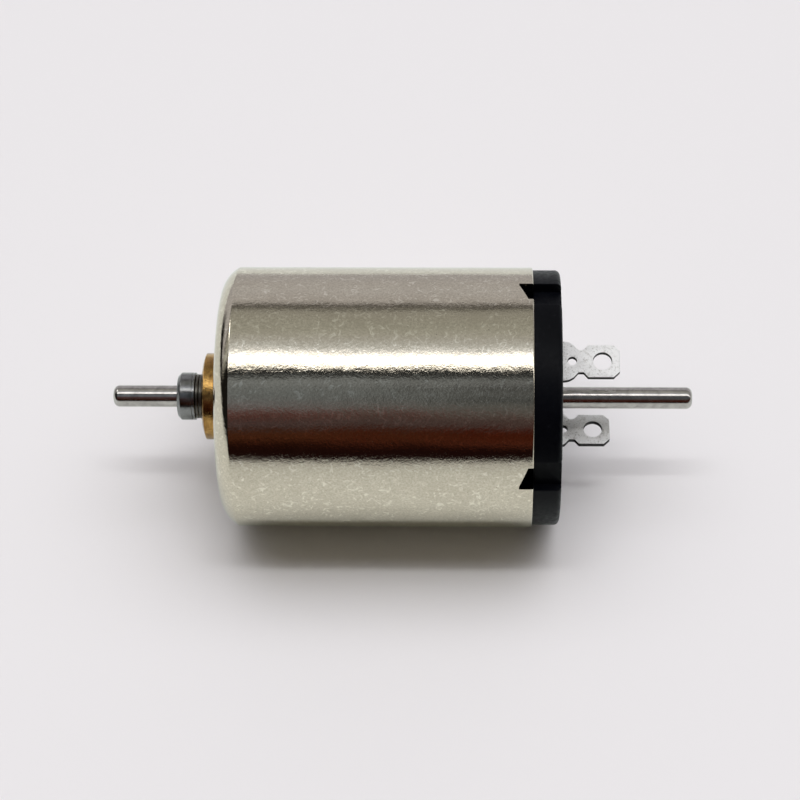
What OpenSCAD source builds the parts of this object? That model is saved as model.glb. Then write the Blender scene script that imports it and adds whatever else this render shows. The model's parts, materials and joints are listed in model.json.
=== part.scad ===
// Dual-shaft direct-current motor with a hollow-cup rotor, lying on its side.
// Frame: the origin is the centre of the mounting face, +X runs out along the output shaft, +Z is up.
// A depth is a distance from the mounting face towards the rear, so it grows along -X.

/* [Can] */
// Outside diameter of the drawn can
can_d = 24; // [22:0.5:28]
// Length of the can from the mounting face to its rear rim
can_len = 28.5; // [28:0.5:34]
// Wall thickness of the can
can_wall = 0.8; // [0.6:0.1:1]
// Outside radius of the drawn front corner
can_corner = 2.9; // [2.6:0.1:3.1]
// Turn of the staking slots and terminals about the shaft
clocking = 14.2; // [0:0.1:45]

/* [Mounting] */
// Diameter of the pilot boss
boss_d = 8; // [7:0.5:9]
// Height of the pilot boss above the mounting face
boss_len = 1.9; // [1.5:0.1:2.4]
// Pitch circle of the tapped holes in the mounting face
screw_pcd = 17; // [15:0.5:17]
// Tapping diameter of those holes
screw_d = 1.6; // [1.2:0.1:1.8]

/* [Shaft] */
// Diameter of the shaft
shaft_d = 2; // [1.5:0.1:2.3]
// Reach of the output end ahead of the mounting face
front_reach = 10.3; // [8:0.1:16]
// Reach of the rear end behind the end cap
rear_reach = 12.25; // [4:0.25:16]
// Diameter of the collar on the output end
collar_d = 4.4; // [4:0.1:5]
// Length of that collar
collar_len = 1.65; // [1.2:0.05:2]
// Thickness of each thrust washer under the collar
washer_t = 0.3; // [0.2:0.05:0.4]

/* [End cap] */
// Diameter of the end cap's rim
cap_d = 23.5; // [21:0.1:27.6]
// Length of the rim behind the can
cap_len = 2.5; // [2.4:0.1:4]
// Width of each staking slot
slot_w = 3.1; // [2.6:0.1:3.4]

/* [Terminals] */
// Distance from the shaft to the middle of the upper terminal
upper_reach = 3.7; // [3.5:0.05:4.4]
// Distance from the shaft to the middle of the lower terminal
lower_reach = 4.25; // [3.5:0.05:4.4]
// Sheet thickness of the terminals
terminal_t = 0.5; // [0.3:0.05:0.6]
// Diameter of the wire eye
eye_d = 1.74; // [1.2:0.02:1.9]
// Turn of the upper terminal about its own length, from edge-on to the shaft
twist_upper = 59.8; // [55:0.1:75]
// Turn of the lower terminal about its own length, from edge-on to the shaft
twist_lower = 70.3; // [55:0.1:75]
// How much deeper the lower terminal sits in the cap
lower_sink = 0.65; // [0:0.05:1]

/* [Rotor] */
// Wall thickness of the hollow-cup winding
coil_wall = 0.85; // [0.6:0.05:1]
// Air gap on each side of the winding
air_gap = 0.5; // [0.3:0.05:0.6]
// Diameter of the commutator
commutator_d = 5.5; // [5.2:0.1:5.8]

/* [Hidden] */
$fn = 96;
segments = 5;
segment_pitch = 360 / segments;
segment_gap_angle = 6;

// Clearances: a glued or pressed joint, a running shaft, and brush to commutator
seat_gap = 0.01;
running_gap = 0.02;
brush_gap = 0.08;
over = 1;

// Can and its staking
can_r = can_d / 2;
can_in_r = can_r - can_wall;
can_corner_reach = 2.56;
can_flat_r = can_r - can_corner_reach;
rim_chamfer = 0.18;
notch_len = 1.3;
notch_w = 2.4;
notch_short = 0.5;
notch_corner = 0.3;
tongue_t = 0.55;
tongue_reach = 0.95;
tongue_bend = 62;
tongue_recess = 0.04;
tongue_sink = 0.12;
tongue_root = 0.25;
tongue_side = 0.1;
tongue_toe = 0.35;
tongue_toe_rise = 0.2;
tongue_tip_share = 0.7;
slot_clocks = [0, 90, 180, 270];

// Pilot boss, its sleeve and the bearings in it
boss_r = boss_d / 2;
boss_flat_r = 2.5;
boss_dome_h = 0.32;
boss_dome_r = ((boss_r - boss_flat_r) ^ 2 + boss_dome_h ^ 2) / (2 * boss_dome_h);
sleeve_r = 3;
sleeve_end = 17;
bearing_r = 2;
bearing_len = 3.2;
sleeve_core_r = 1.5;
boss_relief_r = boss_r - 0.25;
boss_relief_front = -0.15;
boss_relief_rear = 0.45;
boss_dome_steps = 8;
boss_ring_r = 5;
boss_ring_t = 0.8;

// Shaft and what sits on it
shaft_r = shaft_d / 2;
shaft_tip = 0.55;
shaft_groove_w = 0.6;
shaft_groove_t = 0.2;
tip_steps = 8;
collar_r = collar_d / 2;
collar_chamfer = 0.32;
collar_groove_w = 0.1;
collar_lip = 0.2;
washer_r = 2.05;
washer_play = 0.03;
washer_2_rear = -boss_len - washer_play;
washer_1_rear = washer_2_rear - washer_t - washer_play;
collar_rear = washer_1_rear - washer_t - washer_play;
collar_front = collar_rear - collar_len;
shaft_front = -front_reach;
shaft_rear = can_len + cap_len + rear_reach;

// Winding, hub and commutator
coil_r = can_in_r - air_gap;
coil_in_r = coil_r - coil_wall;
coil_front = 2.4;
hub_front = 17.6;
hub_rear = 19.4;
coil_past_hub = 0.65;
commutator_past_hub = 0.8;
core_setback = 2.7;
segment_setback = 0.4;
coil_rear = hub_rear + coil_past_hub;
inner_washer_front = 17.25;
inner_washer_r = 1.9;
core_r = 2;
core_rear = can_len - core_setback;
commutator_r = commutator_d / 2;
segment_front = hub_rear + commutator_past_hub;
segment_rear = core_rear - segment_setback;
riser_r = 3.6;
riser_t = 0.6;
riser_w = 0.9;
lead_r = 0.24;
lead_outer = coil_in_r + coil_wall / 2;

// Magnet
magnet_r = coil_in_r - air_gap;
magnet_front = can_wall + boss_ring_t;
magnet_rear = 16.6;

// End cap
cap_r = cap_d / 2;
cap_rear = can_len + cap_len;
cap_corner = 0.5;
spigot_gap = 0.04;
spigot_len = 2.2;
spigot_wall = 1.6;
spigot_r = can_in_r - spigot_gap;
spigot_front = can_len - spigot_len;
cap_floor_in = 0.4;
cap_floor = can_len - cap_floor_in;
cap_hub_r = 2.9;
cap_hub_len = 1.9;
cap_hub_front = can_len - cap_hub_len;
slot_depth = 1;
slot_floor_r = cap_r - slot_depth;
tongue_room = 1.3;
tongue_room_r = can_in_r - tongue_room;
rear_bearing_r = 2.2;
rear_bearing_in = 1.7;
rear_bearing_cover = 1.6;
rear_bearing_front = can_len - rear_bearing_in;
rear_bearing_rear = cap_rear - rear_bearing_cover;
cap_eye_r = 1.4;
cap_dish_r = 3.2;
cap_dish_t = 0.25;
relief_w = 1.2;
relief_from = 5.2;
relief_to = 8.4;
groove_ring_r = 9.6;
groove_ring_w = 0.35;

// Terminals: half widths and places along the tab, counted from the cap's rear face
plane_offset = -0.5;
base_half = 1.95;
base_ends = [1.3, 0.85, 0.4];
base_insets = [0.35, 0.08, 0];
neck_half = 1.12;
neck_from = 1.7;
neck_to = 2.2;
tab_half = 1.6;
tab_start = 2.6;
tab_end = 5.48;
tab_chamfer = 0.55;
eye_at = 3.92;
fixing_hole_r = 0.42;
fixing_hole_at = 1.15;
base_in = 0.4;
tang_far = 1.7;
tang_near = -0.65;
tang_slot_gap = 0.06;
foot_front = cap_floor - terminal_t;
foot_near = 3.2;
foot_far = 5.2;
foot_end = -7.4;

// Brush gear
arm_t = 0.2;
arm_start = 2.6;
arm_w = 2;
arm_front = segment_front + arm_start;
arm_rear = arm_front + arm_w;
arm_tip = 1.5;
arm_root = 1;
pad_t = 0.5;
pad_half = 0.8;
pad_rim = 0.1;
pad_face = commutator_r + brush_gap;
arm_face = pad_face + pad_t;
damper_t = 0.75;
damper_from = -3.2;
damper_to = -1.6;

// Points along a round stretch of an outline
function arc(centre, r, from, to, steps) =
    [for (i = [0:steps]) let (a = from + (to - from) * i / steps) centre + r * [cos(a), sin(a)]];

// Turns an outline of [radius, depth] about the shaft
module turned() {
    rotate([0, -90, 0]) rotate_extrude() children();
}

module tube(r_in, r_out, front, rear) {
    turned() translate([r_in, front]) square([r_out - r_in, rear - front]);
}

module clocked() {
    rotate([clocking, 0, 0]) children();
}

// Outline of a round bar with one rounded end at depth 0: the corner's arc leaves the end face at radius flat_r.
// Where flat_r + corner is more than r, the arc meets the side in a crease.
module rounded_bar(r, length, corner, flat_r) {
    square([flat_r, length]);
    translate([0, corner]) square([r, length - corner]);
    intersection() {
        translate([flat_r, corner]) circle(corner);
        square([r, length]);
    }
}

// Outline of one staking notch, seen from outside: x forward from the rim, y around the can
module notch_outline() {
    polygon([
        [-over, -notch_w / 2],
        [notch_len, -notch_w / 2],
        [notch_len, -notch_w / 2 + notch_corner],
        [notch_short, notch_w / 2],
        [-over, notch_w / 2]
    ]);
}

module notch_cut(hand) {
    translate([-can_len, 0, 0])
        mirror([0, hand, 0])
            linear_extrude(can_r + over) notch_outline();
}

// The flap of wall that the notch's slanted edge still holds, bent inwards and kept inside the can's outline
module tongue(hand) {
    intersection() {
        tongue_flap(hand);
        tube(0, can_r - tongue_recess, can_len - notch_len - over, can_len);
    }
}

module tongue_flap(hand) {
    rise = notch_w - notch_corner;
    run = notch_len - notch_short;
    slant = norm([run, rise]);
    mirror([0, hand, 0])
        translate([-can_len + notch_short, notch_w / 2, can_r - tongue_sink])
            rotate([0, 0, -atan2(rise, run)])
                rotate([tongue_bend, 0, 0])
                    translate([0, -tongue_reach, -tongue_t])
                        linear_extrude(tongue_t)
                            polygon([
                                [tongue_side, tongue_reach + tongue_root],
                                [tongue_toe, tongue_toe_rise],
                                [slant * tongue_tip_share, 0],
                                [slant - tongue_side, tongue_reach + tongue_root]
                            ]);
}

module can() {
    color("gainsboro") clocked() {
        difference() {
            turned() difference() {
                rounded_bar(can_r, can_len, can_corner, can_flat_r);
                translate([0, can_wall])
                    rounded_bar(can_in_r, can_len + over, can_corner - can_wall, can_flat_r);
                translate([can_r, can_len]) rotate(45) square(rim_chamfer * sqrt(2), center = true);
            }
            tube(0, boss_r + seat_gap, -over, can_wall + over);
            for (a = [90, 270])
                rotate([a, 0, 0])
                    translate([-can_wall - over, 0, screw_pcd / 2])
                        rotate([0, 90, 0])
                            cylinder(d = screw_d, h = can_wall + 2 * over);
            for (i = [0:3]) rotate([slot_clocks[i], 0, 0]) notch_cut(i % 2);
        }
        for (i = [0:3]) rotate([slot_clocks[i], 0, 0]) tongue(i % 2);
    }
}

module front_boss() {
    dome_angle = asin((boss_r - boss_flat_r) / boss_dome_r);
    dome_centre = [boss_flat_r, boss_dome_r - boss_len];
    dome = arc(dome_centre, boss_dome_r, -90, -90 + dome_angle, boss_dome_steps);
    color("goldenrod") difference() {
        turned() polygon(concat([[sleeve_core_r, -boss_len]], dome, [
            [boss_r, boss_relief_front],
            [boss_relief_r, boss_relief_front],
            [boss_relief_r, boss_relief_rear],
            [boss_r, boss_relief_rear],
            [boss_r, can_wall],
            [sleeve_r, can_wall],
            [sleeve_r, sleeve_end],
            [sleeve_core_r, sleeve_end]
        ]));
        tube(0, bearing_r + seat_gap, -boss_len - over, bearing_len - boss_len);
        tube(0, bearing_r + seat_gap, sleeve_end - bearing_len, sleeve_end + over);
    }
}

module boss_ring() {
    color("darkkhaki") tube(sleeve_r + seat_gap, boss_ring_r, can_wall, can_wall + boss_ring_t);
}

module bearing(r, front, rear) {
    color("peru") tube(shaft_r + running_gap, r, front, rear);
}

module front_bearing() {
    bearing(bearing_r, -boss_len, bearing_len - boss_len);
}

module inner_bearing() {
    bearing(bearing_r, sleeve_end - bearing_len, sleeve_end);
}

module rear_bearing() {
    bearing(rear_bearing_r, rear_bearing_front, rear_bearing_rear);
}

module magnet() {
    color("dimgray") tube(sleeve_r + seat_gap, magnet_r, magnet_front, magnet_rear);
}

// Puts a terminal's own plane, x forward and y away from the shaft, where the cap holds it
module at_terminal(side, twist) {
    clocked() translate([0, plane_offset, side > 0 ? upper_reach : -lower_reach])
        rotate([twist, 0, 0])
            rotate([90, 0, 0])
                translate([0, 0, -terminal_t / 2])
                    children();
}

module end_cap() {
    color([0.05, 0.05, 0.06]) difference() {
        clocked() difference() {
            union() {
                turned() difference() {
                    translate([0, cap_rear]) mirror([0, 1]) rounded_bar(cap_r, cap_len, cap_corner, cap_r - cap_corner);
                    translate([0, cap_rear - cap_dish_t]) square([cap_dish_r, over]);
                    translate([groove_ring_r, cap_rear - cap_dish_t]) square([groove_ring_w, over]);
                }
                tube(0, spigot_r, cap_floor, can_len + over / 2);
                tube(spigot_r - spigot_wall, spigot_r, spigot_front, can_len);
                tube(0, cap_hub_r, cap_hub_front, can_len);
            }
            tube(0, rear_bearing_r + seat_gap, cap_hub_front - over, rear_bearing_rear);
            tube(0, cap_eye_r, rear_bearing_rear - over, cap_rear + over);
            for (a = slot_clocks) rotate([a, 0, 0]) {
                translate([-cap_rear - over, -slot_w / 2, slot_floor_r])
                    cube([cap_len + over, slot_w, can_r]);
                translate([-can_len, -slot_w / 2, tongue_room_r])
                    cube([can_len - spigot_front + over, slot_w, can_r]);
            }
            for (a = [45:90:315])
                rotate([a, 0, 0])
                    translate([-cap_rear - over, -relief_w / 2, relief_from])
                        cube([over + cap_dish_t, relief_w, relief_to - relief_from]);
        }
        terminal_slot(1, twist_upper, 0);
        terminal_slot(-1, twist_lower, lower_sink);
    }
}

// The room for one terminal: a pocket for its wide base and a slot through the cap for its tang
module terminal_slot(side, twist, sink) {
    g = tang_slot_gap;
    pocket = base_in + sink + g;
    at_terminal(side, twist) translate([0, 0, -g]) linear_extrude(terminal_t + 2 * g) {
        translate([-cap_rear - over, -base_half - g])
            square([pocket + over, 2 * (base_half + g)]);
        mirror([0, side > 0 ? 0 : 1])
            translate([-cap_rear, tang_near - g])
                square([cap_rear - cap_floor + over, tang_far - tang_near + 2 * g]);
    }
}

// One long edge of the terminal, from the tip to the base, with the distances from the cap
function terminal_edge(way) = [
    [tab_end, way * (tab_half - tab_chamfer)],
    [tab_end - tab_chamfer, way * tab_half],
    [tab_start, way * tab_half],
    [neck_to, way * neck_half],
    [neck_from, way * neck_half],
    for (i = [0:2]) [base_ends[i], way * (base_half - base_insets[i])],
    [-base_in, way * base_half]
];

function backwards(points) = [for (i = [len(points) - 1:-1:0]) points[i]];

module terminal(side, twist, sink) {
    tang_end = sink - cap_rear + foot_front;
    outline = concat(terminal_edge(1), [
        [-base_in, tang_far],
        [tang_end, tang_far],
        [tang_end, tang_near],
        [-base_in, tang_near]
    ], backwards(terminal_edge(-1)));
    color("silver") {
        at_terminal(side, twist)
            translate([-cap_rear + sink, 0, 0])
                linear_extrude(terminal_t) difference() {
                    polygon([for (p = outline) [-p[0], side * p[1]]]);
                    translate([-eye_at, 0]) circle(d = eye_d);
                    translate([-fixing_hole_at, 0]) circle(fixing_hole_r);
                }
        clocked() mirror([0, 0, side > 0 ? 0 : 1])
            translate([-cap_floor, foot_end, foot_near])
                cube([terminal_t, plane_offset - foot_end, foot_far - foot_near]);
    }
}

module terminal_upper() {
    terminal(1, twist_upper, 0);
}

module terminal_lower() {
    terminal(-1, twist_lower, lower_sink);
}

// Places brush parts above the shaft for side 1 and below it for side -1
module at_brush(side) {
    clocked() mirror([0, 0, side > 0 ? 0 : 1]) children();
}

module brush_arm(side) {
    color("darkgoldenrod") at_brush(side) {
        translate([-arm_rear, foot_end, arm_face])
            cube([arm_rear - arm_front, arm_tip - foot_end, arm_t]);
        translate([-foot_front, foot_end, arm_face])
            cube([foot_front - arm_front, arm_root, arm_t]);
        translate([-foot_front, foot_end, arm_face])
            cube([arm_t, 2 * arm_root, foot_far - arm_face]);
    }
}

module brush_pad(side) {
    color("dimgray") at_brush(side)
        translate([-arm_rear + pad_rim, -pad_half, pad_face])
            cube([arm_rear - arm_front - 2 * pad_rim, 2 * pad_half, pad_t]);
}

module brush_damper(side) {
    color("saddlebrown") at_brush(side)
        translate([-arm_rear + pad_rim, damper_from, arm_face + arm_t])
            cube([arm_rear - arm_front - 2 * pad_rim, damper_to - damper_from, damper_t]);
}

module shaft() {
    front_tip = arc([shaft_r - shaft_tip, shaft_front + shaft_tip], shaft_tip, -90, 0, tip_steps);
    rear_tip = arc([shaft_r - shaft_tip, shaft_rear - shaft_tip], shaft_tip, 0, 90, tip_steps);
    groove_at = [collar_front, cap_rear - shaft_groove_w];
    grooves = [for (g = groove_at, p = [
        [shaft_r, 0],
        [shaft_r - shaft_groove_t, 0],
        [shaft_r - shaft_groove_t, shaft_groove_w],
        [shaft_r, shaft_groove_w]
    ]) p + [0, g]];
    color("lightgray") turned()
        polygon(concat([[0, shaft_front]], front_tip, grooves, rear_tip, [[0, shaft_rear]]));
}

module shaft_collar() {
    groove_rear = collar_rear - collar_lip;
    color("slategray") turned() difference() {
        polygon([
            [shaft_r + seat_gap, collar_front],
            [collar_r - collar_chamfer, collar_front],
            [collar_r, collar_front + collar_chamfer],
            [collar_r, collar_rear],
            [shaft_r + seat_gap, collar_rear]
        ]);
        translate([washer_r, groove_rear - collar_groove_w]) square([over, collar_groove_w]);
    }
}

module thrust_washer(rear) {
    color("gray") tube(shaft_r + running_gap, washer_r, rear - washer_t, rear);
}

module thrust_washer_1() {
    thrust_washer(washer_1_rear);
}

module thrust_washer_2() {
    thrust_washer(washer_2_rear);
}

module inner_washer() {
    color("gray") tube(shaft_r + running_gap, inner_washer_r, inner_washer_front, hub_front);
}

module rotor_hub() {
    color("ivory") tube(shaft_r + seat_gap, coil_in_r - seat_gap, hub_front, hub_rear);
}

module coil_cup() {
    color("sienna") tube(coil_in_r, coil_r, coil_front, coil_rear);
}

module commutator_core() {
    color("tan") tube(shaft_r + seat_gap, core_r, hub_rear, core_rear);
}

// One bar of the commutator: a sector of a ring, with the riser that its lead is soldered to
module commutator_segment(i) {
    half = (segment_pitch - segment_gap_angle) / 2;
    far = 2 * riser_r;
    color("gold") rotate([segment_pitch * i, 0, 0]) {
        intersection() {
            tube(core_r + seat_gap, commutator_r, segment_front, segment_rear);
            rotate([0, -90, 0]) linear_extrude(segment_rear + over)
                polygon([[0, 0], far * [cos(half), -sin(half)], [far, 0], far * [cos(half), sin(half)]]);
        }
        translate([-segment_front - riser_t, -riser_w / 2, (core_r + commutator_r) / 2])
            cube([riser_t, riser_w, riser_r - (core_r + commutator_r) / 2]);
    }
}

module coil_lead(i) {
    color("chocolate") rotate([segment_pitch * i, 0, 0])
        translate([-coil_rear - lead_r - seat_gap, 0, riser_r + seat_gap])
            cylinder(r = lead_r, h = lead_outer - riser_r, $fn = 24);
}

can();
front_boss();
boss_ring();
front_bearing();
inner_bearing();
magnet();
end_cap();
rear_bearing();
terminal_upper();
terminal_lower();
brush_arm(1);  // brush_arm_upper
brush_arm(-1);  // brush_arm_lower
brush_pad(1);  // brush_pad_upper
brush_pad(-1);  // brush_pad_lower
brush_damper(1);  // brush_damper_upper
brush_damper(-1);  // brush_damper_lower
shaft();
shaft_collar();
thrust_washer_1();
thrust_washer_2();
inner_washer();
rotor_hub();
coil_cup();
commutator_core();
for (i = [1:segments]) commutator_segment(i);
for (i = [1:segments]) coil_lead(i);
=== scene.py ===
"""Looks of a dual-shaft hollow-cup motor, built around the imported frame.

Lengths in the tables are millimetres and turn into metres in the mesh helpers. A depth is a distance from
the mounting face towards the rear, along -X. Floor, lamp and clipping distances are metres.
"""

import json
import math

import bmesh
import bpy
from mathutils import Matrix, Vector


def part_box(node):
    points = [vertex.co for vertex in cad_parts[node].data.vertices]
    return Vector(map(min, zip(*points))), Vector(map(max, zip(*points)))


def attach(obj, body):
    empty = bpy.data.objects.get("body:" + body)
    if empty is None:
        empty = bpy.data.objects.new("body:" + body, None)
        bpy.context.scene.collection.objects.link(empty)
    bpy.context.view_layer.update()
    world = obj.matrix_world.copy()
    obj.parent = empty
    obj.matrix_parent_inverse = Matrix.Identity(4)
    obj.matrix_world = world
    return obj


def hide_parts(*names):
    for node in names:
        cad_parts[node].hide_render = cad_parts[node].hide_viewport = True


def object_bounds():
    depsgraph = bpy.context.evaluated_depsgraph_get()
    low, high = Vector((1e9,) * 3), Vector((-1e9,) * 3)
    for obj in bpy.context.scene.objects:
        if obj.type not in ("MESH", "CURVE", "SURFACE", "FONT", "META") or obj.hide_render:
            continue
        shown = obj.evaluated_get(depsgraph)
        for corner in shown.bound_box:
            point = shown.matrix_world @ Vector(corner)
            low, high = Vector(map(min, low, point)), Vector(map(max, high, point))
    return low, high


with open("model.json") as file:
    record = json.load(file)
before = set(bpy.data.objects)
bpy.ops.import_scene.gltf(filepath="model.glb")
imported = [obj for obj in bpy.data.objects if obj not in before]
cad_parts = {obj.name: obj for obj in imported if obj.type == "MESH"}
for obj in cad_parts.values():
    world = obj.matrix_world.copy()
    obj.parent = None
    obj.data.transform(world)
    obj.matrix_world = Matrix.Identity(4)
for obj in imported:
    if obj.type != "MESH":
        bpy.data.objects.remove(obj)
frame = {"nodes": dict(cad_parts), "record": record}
CAD_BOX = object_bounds()
MM = 0.001
QUARTER = math.pi / 2


def low_mm(node):
    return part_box(node)[0] / MM


def high_mm(node):
    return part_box(node)[1] / MM


# Sizes read from the frame
CAN_R = high_mm("can").z
CAN_LEN = -low_mm("can").x
CAP_REAR = -low_mm("end_cap").x
BOSS_FRONT = -high_mm("front_boss").x
SHAFT_R = high_mm("shaft").z
SHAFT_FRONT = -high_mm("shaft").x
SHAFT_REAR = -low_mm("shaft").x
COLLAR_R = high_mm("shaft_collar").z
COLLAR_FRONT = -high_mm("shaft_collar").x
COLLAR_REAR = -low_mm("shaft_collar").x

# Sizes repeated from the CAD source
CAP_R = 11.75
CLOCKING = math.radians(14.2)
CAN_WALL = 0.8
CAN_CORNER = 2.9
CAN_FLAT_R = CAN_R - 2.56
CAN_CREASE_R = 0.35
NOTCH_OUTLINE = [(-1, -1.2), (1.3, -1.2), (1.3, -0.9), (0.5, 1.2), (-1, 1.2)]
SCREW_R = 0.8
SCREW_CIRCLE_R = 8.5
BOSS_R = 4
SLEEVE_R = 3
TERMINAL_T = 0.5
EYE_R = 0.87
EYE_AT = 3.92
FIXING_HOLE_R = 0.42
FIXING_HOLE_AT = 1.15
CAP_FLOOR_IN = 0.4
FOOT_FRONT = CAP_FLOOR_IN + TERMINAL_T
PLATE_OFFSET = -0.5
PLATE_HALF = 1.95
TANG_SIDES = (-0.65, 1.7)

# A depth somewhere in the can's straight part
MIDWAY = 20
# How far a cutter reaches past the surface that it cuts
CLEAR = 1


# ---------------------------------------------------------------- meshes

def link(obj):
    bpy.context.scene.collection.objects.link(obj)
    return obj


def mesh_object(name, verts, faces):
    """A mesh from millimetre points, without loose edges and with its faces turned outwards."""
    mesh = bpy.data.meshes.new(name)
    mesh.from_pydata([Vector(v) * MM for v in verts], [], faces)
    bm = bmesh.new()
    bm.from_mesh(mesh)
    bmesh.ops.remove_doubles(bm, verts=bm.verts, dist=1e-8)
    bmesh.ops.dissolve_degenerate(bm, edges=bm.edges, dist=1e-8)
    loose = [edge for edge in bm.edges if not edge.link_faces]
    bmesh.ops.delete(bm, geom=loose, context="EDGES")
    bmesh.ops.recalc_face_normals(bm, faces=bm.faces)
    bm.to_mesh(mesh)
    bm.free()
    return link(bpy.data.objects.new(name, mesh))


def rounded(points, radii, steps=6):
    """A closed outline with each corner replaced by an arc of its radius."""
    out = []
    count = len(points)
    for i, point in enumerate(points):
        radius = radii[i]
        here = Vector(point)
        to_last = (Vector(points[i - 1]) - here).normalized()
        to_next = (Vector(points[(i + 1) % count]) - here).normalized()
        half = to_last.angle(to_next) / 2
        if radius == 0 or abs(half - QUARTER) < 1e-4:
            out.append(tuple(here))
            continue
        centre = here + (to_last + to_next).normalized() * radius / math.sin(half)
        start = here + to_last * radius / math.tan(half) - centre
        end = here + to_next * radius / math.tan(half) - centre
        sweep = start.angle_signed(end)
        for k in range(steps + 1):
            turn = -sweep * k / steps
            out.append(tuple(centre + Matrix.Rotation(turn, 2) @ start))
    return out


def arc(centre, radius, start, end, steps=10):
    turns = [math.radians(start + (end - start) * k / steps) for k in range(steps + 1)]
    return [(centre[0] + radius * math.cos(t), centre[1] + radius * math.sin(t)) for t in turns]


def lathe(name, outline, steps=256):
    """A solid turned about the shaft from a closed outline of (radius, depth)."""
    verts = []
    faces = []
    count = len(outline)
    for k in range(steps):
        turn = 2 * math.pi * k / steps
        verts += [(-d, r * math.sin(turn), r * math.cos(turn)) for r, d in outline]
        for i in range(count):
            j = (i + 1) % count
            a, b = k * count, (k + 1) % steps * count
            faces.append((a + i, a + j, b + j, b + i))
    return mesh_object(name, verts, faces)


def prism(name, outline, low, high, place):
    """A closed prism over a flat outline, between two heights, put in place by a matrix in millimetres."""
    count = len(outline)
    verts = [place @ Vector((x, y, z)) for z in (low, high) for x, y in outline]
    faces = [tuple(range(count)), tuple(range(count, 2 * count))]
    faces += [(i, (i + 1) % count, count + (i + 1) % count, count + i) for i in range(count)]
    return mesh_object(name, verts, faces)


def circle(x, y, r, steps=48):
    return [(x + r * math.cos(2 * math.pi * k / steps), y + r * math.sin(2 * math.pi * k / steps))
            for k in range(steps)]


def applied(obj):
    """Turns the object's modifiers into its mesh."""
    graph = bpy.context.evaluated_depsgraph_get()
    mesh = bpy.data.meshes.new_from_object(obj.evaluated_get(graph))
    obj.modifiers.clear()
    obj.data = mesh
    return obj


def carve(obj, tools, operation="DIFFERENCE"):
    """Cuts the tools out of the object, or joins or keeps what they share, and removes them."""
    for tool in tools:
        cut = obj.modifiers.new("carve", "BOOLEAN")
        cut.operation = operation
        cut.solver = "EXACT"
        cut.object = tool
    applied(obj)
    for tool in tools:
        bpy.data.objects.remove(tool)
    return obj


def bevelled(obj, width, segments):
    """Bevels every edge that is sharper than a limit angle."""
    bevel = obj.modifiers.new("bevel", "BEVEL")
    bevel.width = width * MM
    bevel.segments = segments
    bevel.limit_method = "ANGLE"
    bevel.angle_limit = math.radians(35)
    bevel.miter_outer = "MITER_ARC"
    return applied(obj)


def smooth(obj, angle=35):
    obj.data.shade_smooth()
    obj.data.set_sharp_from_angle(angle=math.radians(angle))
    return obj


def finished(obj, body, slot, material, *nodes):
    """Gives a piece its material and body, and hides the CAD nodes that it stands for. The slot is not
    used.
    """
    obj.data.materials.clear()
    obj.data.materials.append(material)
    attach(obj, body)
    if nodes:
        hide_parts(*nodes)
    return obj


def turn_x(angle):
    return Matrix.Rotation(angle, 4, "X")


def shift(x, y, z):
    return Matrix.Translation((x, y, z))


# ---------------------------------------------------------------- material helpers

class Nodes:
    """Short ways to add and join the nodes of one tree."""

    def __init__(self, tree):
        self.tree = tree

    def add(self, kind, **settings):
        node = self.tree.nodes.new(kind)
        for key, value in settings.items():
            setattr(node, key, value)
        return node

    def join(self, output, socket):
        self.tree.links.new(output, socket)

    def feed(self, value, socket):
        """Joins another node's output to a socket, or sets the socket to a number or a colour."""
        if isinstance(value, (int, float)):
            socket.default_value = value
        elif isinstance(value, tuple):
            socket.default_value = (*value, 1)
        else:
            self.join(value, socket)

    def math(self, operation, a, b):
        node = self.add("ShaderNodeMath", operation=operation)
        self.feed(a, node.inputs[0])
        self.feed(b, node.inputs[1])
        return node.outputs[0]

    def span(self, value, low, high, to_low=0.0, to_high=1.0, curve="LINEAR"):
        """The value mapped from one range to another, held at the ends."""
        node = self.add("ShaderNodeMapRange", interpolation_type=curve)
        limits = {"From Min": low, "From Max": high, "To Min": to_low, "To Max": to_high}
        for socket, number in limits.items():
            node.inputs[socket].default_value = number
        self.join(value, node.inputs["Value"])
        return node.outputs["Result"]

    def ease(self, value, low, high):
        """A smooth step from 0 at low to 1 at high."""
        return self.span(value, low, high, curve="SMOOTHSTEP")

    def blend(self, factor, low, high):
        """A colour between two, each a colour or another node's output."""
        node = self.add("ShaderNodeMix", data_type="RGBA")
        self.join(factor, node.inputs["Factor"])
        self.feed(low, node.inputs[6])
        self.feed(high, node.inputs[7])
        return node.outputs[2]

    def choose(self, factor, a, b):
        """The first shader where the factor is 0, and the second where it is 1."""
        node = self.add("ShaderNodeMixShader")
        for socket, output in zip(node.inputs, (factor, a, b)):
            self.join(output, socket)
        return node.outputs[0]


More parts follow.
